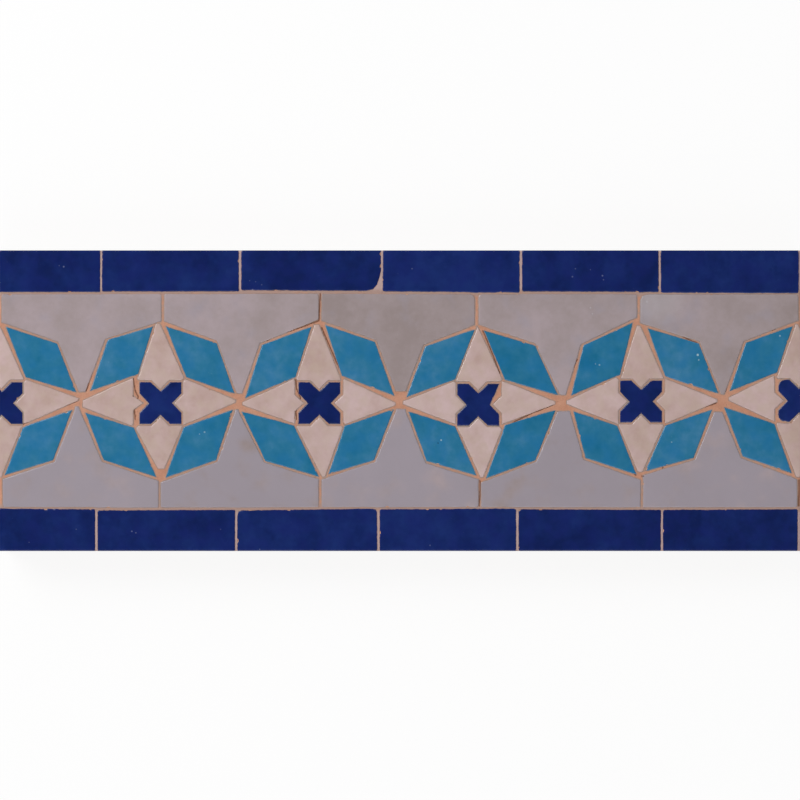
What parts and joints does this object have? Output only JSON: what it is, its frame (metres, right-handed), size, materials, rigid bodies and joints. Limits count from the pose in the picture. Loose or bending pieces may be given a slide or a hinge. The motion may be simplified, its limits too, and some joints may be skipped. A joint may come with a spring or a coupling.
{
  "type": "moroccan tile",
  "caption": "Ready-assembled mosaic border panel of hand-cut glazed clay pieces in a mortar bed: eight-pointed stars between two rows of bars.",
  "frame": {"origin": "middle of the flat mortar back, on the surface that the panel lies on", "axes": "+X along the row of stars, +Z out of the glazed faces, +Y across the panel to the row of bars that is uppermost in the picture"},
  "size_m": [0.3048, 0.1142, 0.02],
  "materials": {
    "navy_glaze": "gloss",
    "grey_glaze": "gloss",
    "blue_glaze": "gloss",
    "white_glaze": "gloss",
    "mortar": "matte"
  },
  "bodies": {
    "root": {"mortar_bed": "mortar", "upper_bar_1": "navy_glaze", "upper_bar_2": "navy_glaze", "upper_bar_3": "navy_glaze", "upper_bar_4": "navy_glaze", "upper_bar_5": "navy_glaze", "upper_bar_6": "navy_glaze", "lower_bar_1": "navy_glaze", "lower_bar_2": "navy_glaze", "lower_bar_3": "navy_glaze", "lower_bar_4": "navy_glaze", "lower_bar_5": "navy_glaze", "lower_bar_6": "navy_glaze", "upper_field_tile_1": "grey_glaze", "upper_field_tile_2": "grey_glaze", "upper_field_tile_3": "grey_glaze", "upper_field_tile_4": "grey_glaze", "upper_field_tile_5": "grey_glaze", "lower_field_tile_1": "grey_glaze", "lower_field_tile_2": "grey_glaze", "lower_field_tile_3": "grey_glaze", "lower_field_tile_4": "grey_glaze", "lower_field_tile_5": "grey_glaze", "cross_1": "navy_glaze", "cross_2": "navy_glaze", "cross_3": "navy_glaze", "cross_4": "navy_glaze", "cross_5": "navy_glaze", "cross_6": "navy_glaze", "star_points_1": "white_glaze", "star_points_2": "white_glaze", "star_points_3": "white_glaze", "star_points_4": "white_glaze", "star_points_5": "white_glaze", "star_points_6": "white_glaze", "lozenge_1_upper_right": "blue_glaze", "lozenge_1_lower_right": "blue_glaze", "lozenge_2_upper_right": "blue_glaze", "lozenge_2_lower_right": "blue_glaze", "lozenge_2_lower_left": "blue_glaze", "lozenge_2_upper_left": "blue_glaze", "lozenge_3_upper_right": "blue_glaze", "lozenge_3_lower_right": "blue_glaze", "lozenge_3_lower_left": "blue_glaze", "lozenge_3_upper_left": "blue_glaze", "lozenge_4_upper_right": "blue_glaze", "lozenge_4_lower_right": "blue_glaze", "lozenge_4_lower_left": "blue_glaze", "lozenge_4_upper_left": "blue_glaze", "lozenge_5_upper_right": "blue_glaze", "lozenge_5_lower_right": "blue_glaze", "lozenge_5_lower_left": "blue_glaze", "lozenge_5_upper_left": "blue_glaze", "lozenge_6_lower_left": "blue_glaze", "lozenge_6_upper_left": "blue_glaze"}
  },
  "joints": []
}
